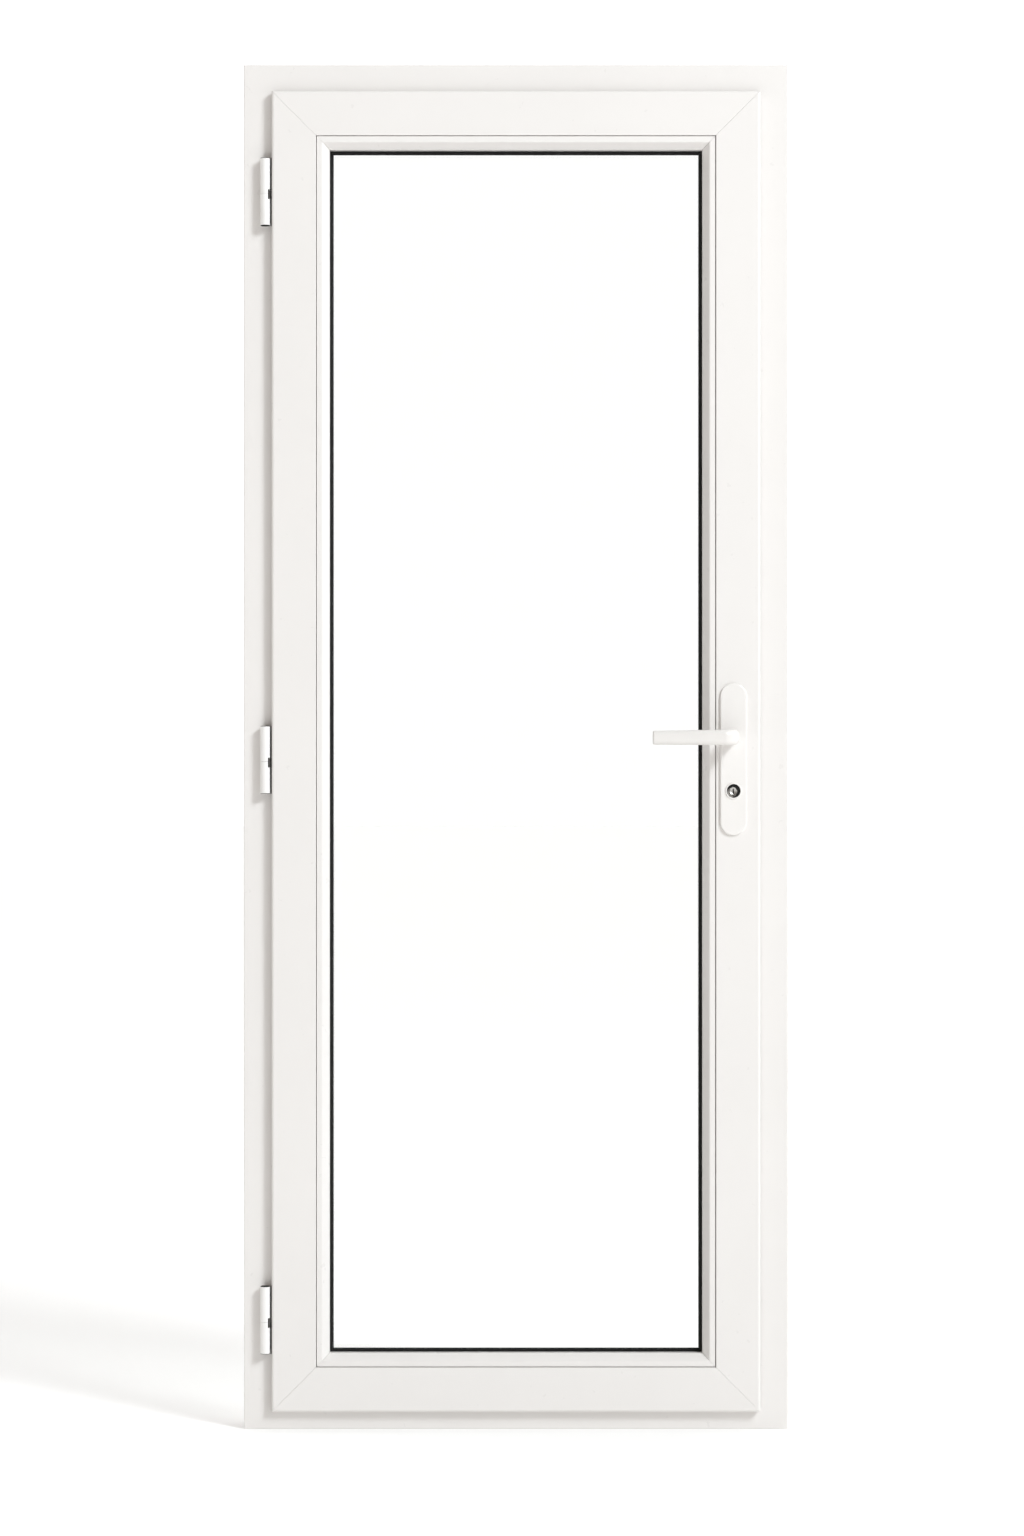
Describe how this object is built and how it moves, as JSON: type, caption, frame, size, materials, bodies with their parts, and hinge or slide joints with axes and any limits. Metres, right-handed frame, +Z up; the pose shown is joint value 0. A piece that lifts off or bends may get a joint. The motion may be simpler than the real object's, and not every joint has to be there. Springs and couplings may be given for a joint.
{
  "type": "casement door",
  "caption": "Glazed casement door leaf on barrel hinges in a white outer frame, with a lever handle, key cylinder, locking rod and roller latch.",
  "frame": {"origin": "middle of the threshold's underside, halfway through the frame's depth", "axes": "+X to the right seen from the room, towards the lock jamb; +Y from the room to the outside; +Z up"},
  "size_m": [0.87, 0.1771, 2.18],
  "materials": {
    "white_pvc": "satin",
    "white_coated_metal": "satin",
    "black_rubber": "matte",
    "clear_glass": "gloss",
    "zinc_steel": "satin",
    "brushed_nickel": "satin",
    "spacer_aluminium": "satin"
  },
  "bodies": {
    "frame": {"frame_hinge_jamb": "white_pvc", "frame_lock_jamb": "white_pvc", "frame_head": "white_pvc", "frame_threshold": "white_pvc", "frame_hinge_jamb_steel": "zinc_steel", "frame_lock_jamb_steel": "zinc_steel", "frame_head_steel": "zinc_steel", "frame_seal": "black_rubber", "drain_cover_left": "white_pvc", "drain_cover_right": "white_pvc", "keep_upper": "zinc_steel", "keep_lower": "zinc_steel", "keep_centre": "zinc_steel", "frame_hinge_leaf_top": "white_coated_metal", "frame_hinge_leaf_middle": "white_coated_metal", "frame_hinge_leaf_bottom": "white_coated_metal", "hinge_pin_top": "zinc_steel", "hinge_pin_middle": "zinc_steel", "hinge_pin_bottom": "zinc_steel"},
    "sash": {"sash_hinge_stile": "white_pvc", "sash_lock_stile": "white_pvc", "sash_top_rail": "white_pvc", "sash_bottom_rail": "white_pvc", "sash_hinge_stile_steel": "zinc_steel", "sash_lock_stile_steel": "zinc_steel", "sash_top_rail_steel": "zinc_steel", "sash_bottom_rail_steel": "zinc_steel", "sash_seal": "black_rubber", "glazing_bead_left": "white_pvc", "glazing_bead_right": "white_pvc", "glazing_bead_top": "white_pvc", "glazing_bead_bottom": "white_pvc", "glass_inner_pane": "clear_glass", "glass_outer_pane": "clear_glass", "glass_spacer_bar": "spacer_aluminium", "inner_glazing_gasket": "black_rubber", "outer_glazing_gasket": "black_rubber", "glazing_packer_left": "black_rubber", "glazing_packer_right": "black_rubber", "sash_hinge_leaf_top": "white_coated_metal", "sash_hinge_leaf_middle": "white_coated_metal", "sash_hinge_leaf_bottom": "white_coated_metal", "lock_faceplate": "zinc_steel", "lock_case": "zinc_steel", "inner_backplate": "white_coated_metal", "outer_backplate": "white_coated_metal", "lock_cylinder": "brushed_nickel"},
    "handle": {"lever_inner": "white_coated_metal", "lever_outer": "white_coated_metal", "spindle": "zinc_steel", "lock_follower": "zinc_steel"},
    "locking_rod": {"lock_rod": "zinc_steel", "locking_cam_upper": "zinc_steel", "locking_cam_lower": "zinc_steel"},
    "deadbolt": {"deadbolt": "brushed_nickel"},
    "cylinder_plug": {"cylinder_plug": "brushed_nickel"},
    "roller_carriage": {"roller_carriage": "zinc_steel"},
    "latch_roller": {"latch_roller": "brushed_nickel"}
  },
  "joints": [
    {"name": "sash_swing", "type": "hinge", "parent": "frame", "child": "sash", "pos_m": [-0.4, -0.045, 0], "axis": [0, 0, -1], "range_deg": [0, 100]},
    {"name": "lever_turn", "type": "hinge", "parent": "sash", "child": "handle", "pos_m": [0.3465, -0.01, 1.105], "axis": [0, 1, 0], "range_deg": [-45, 45], "stiffness_Nm_per_rad": 8, "springref_deg": 4.58},
    {"name": "rod_slide", "type": "slide", "parent": "sash", "child": "locking_rod", "axis": [0, 0, 1], "range_m": [-0.012, 0.012]},
    {"name": "cylinder_turn", "type": "hinge", "parent": "sash", "child": "cylinder_plug", "pos_m": [0.3465, -0.01, 1.02], "axis": [0, 1, 0], "range_deg": [0, 360]},
    {"name": "deadbolt_slide", "type": "slide", "parent": "sash", "child": "deadbolt", "axis": [1, 0, 0], "range_m": [0, 0.02]},
    {"name": "roller_press", "type": "slide", "parent": "sash", "child": "roller_carriage", "axis": [1, 0, 0], "range_m": [-0.004, 0], "stiffness_N_per_m": 1500, "springref_m": 0.003},
    {"name": "roller_spin", "type": "hinge", "parent": "roller_carriage", "child": "latch_roller", "pos_m": [0.3715, -0.01, 1.15], "axis": [0, 0, 1], "continuous": true}
  ],
  "couplings": [
    {"joint": "rod_slide", "follows": "lever_turn", "m_per_rad": -0.015279},
    {"joint": "cylinder_turn", "follows": "deadbolt_slide", "rad_per_m": 314.16}
  ]
}
